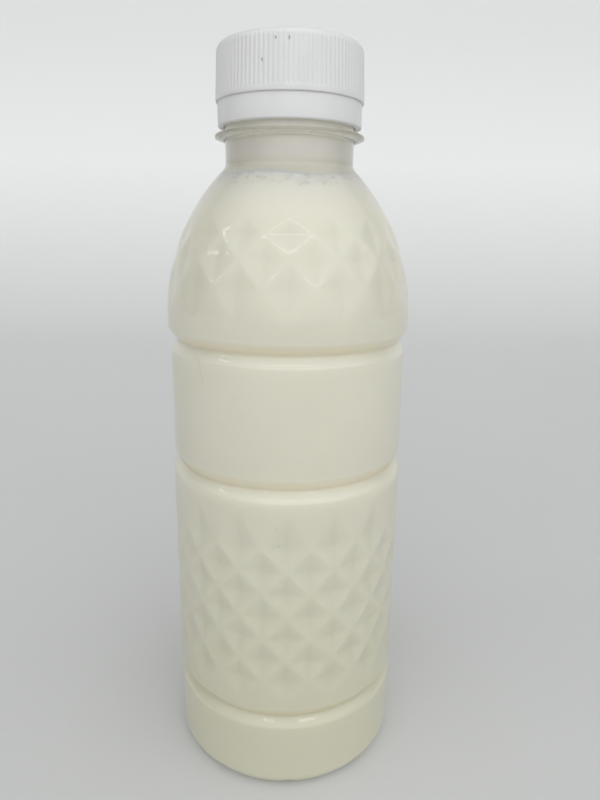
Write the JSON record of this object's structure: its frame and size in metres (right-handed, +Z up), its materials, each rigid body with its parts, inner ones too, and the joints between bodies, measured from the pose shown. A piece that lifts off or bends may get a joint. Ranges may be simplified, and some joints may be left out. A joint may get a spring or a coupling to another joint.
{
  "type": "plastic milk bottle",
  "caption": "Round clear plastic bottle full of milk, with diamond dents on its shoulder and body, ring grooves, a neck flange and a white ribbed screw cap.",
  "frame": {"origin": "middle of the ring the bottle stands on", "axes": "+Z up along the bottle's axis, -Y towards the viewer, with one column of dents facing -Y"},
  "size_m": [0.0716, 0.0716, 0.2135],
  "materials": {
    "clear_plastic": "clear, glossy, thin blown wall",
    "milk": "opaque cream-white liquid",
    "cap_plastic": "satin white moulded plastic"
  },
  "bodies": {
    "root": {"bottle": "clear_plastic", "milk": "milk", "cap": "cap_plastic", "tamper_band": "cap_plastic"}
  },
  "joints": []
}
